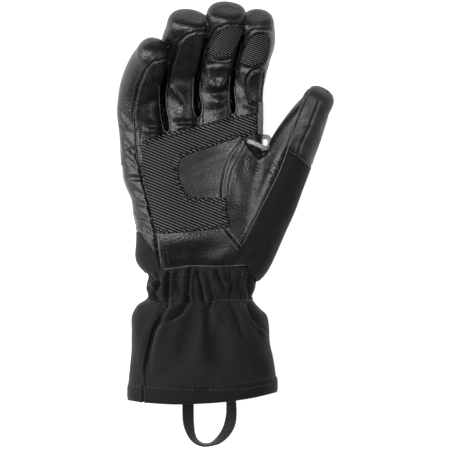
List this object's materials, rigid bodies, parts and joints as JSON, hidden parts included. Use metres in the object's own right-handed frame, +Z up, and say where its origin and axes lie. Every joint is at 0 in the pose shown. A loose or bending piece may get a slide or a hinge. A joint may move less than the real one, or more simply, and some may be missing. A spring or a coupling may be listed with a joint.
{
  "type": "ski glove",
  "caption": "Insulated leather ski glove for the right hand, with ribbed grip patches, an elastic gathered wrist, a softshell gauntlet cuff and a webbing pull loop.",
  "frame": {"origin": "under the middle of the glove's box, on the surface that it lies on", "axes": "+Z up out of the palm, +Y from the cuff to the fingertips, +X towards the thumb"},
  "size_m": [0.1578, 0.324, 0.0647],
  "materials": {
    "black_leather": "smooth, half gloss",
    "softshell": "matt woven softshell",
    "grip_fabric": "ribbed, slightly shiny",
    "webbing": "matt woven tape",
    "grey_cord": "braided, matt"
  },
  "bodies": {
    "root": {"palm_leather": "black_leather", "back_leather": "black_leather", "ulnar_strip": "black_leather", "ulnar_softshell": "softshell", "thumb_leather": "black_leather", "thumb_back": "softshell", "thumb_tip": "black_leather", "little_finger": "black_leather", "little_tip": "black_leather", "ring_finger": "black_leather", "ring_tip": "black_leather", "middle_finger": "black_leather", "middle_tip": "black_leather", "index_finger": "black_leather", "index_tip": "black_leather", "palm_patch": "grip_fabric", "middle_grip": "grip_fabric", "index_grip": "grip_fabric", "index_pad": "black_leather", "side_band": "grey_cord", "pole_loop": "grey_cord", "wrist_band": "softshell", "cuff_front": "softshell", "cuff_back": "softshell", "cuff_hem": "softshell", "pull_loop": "webbing"}
  },
  "joints": []
}
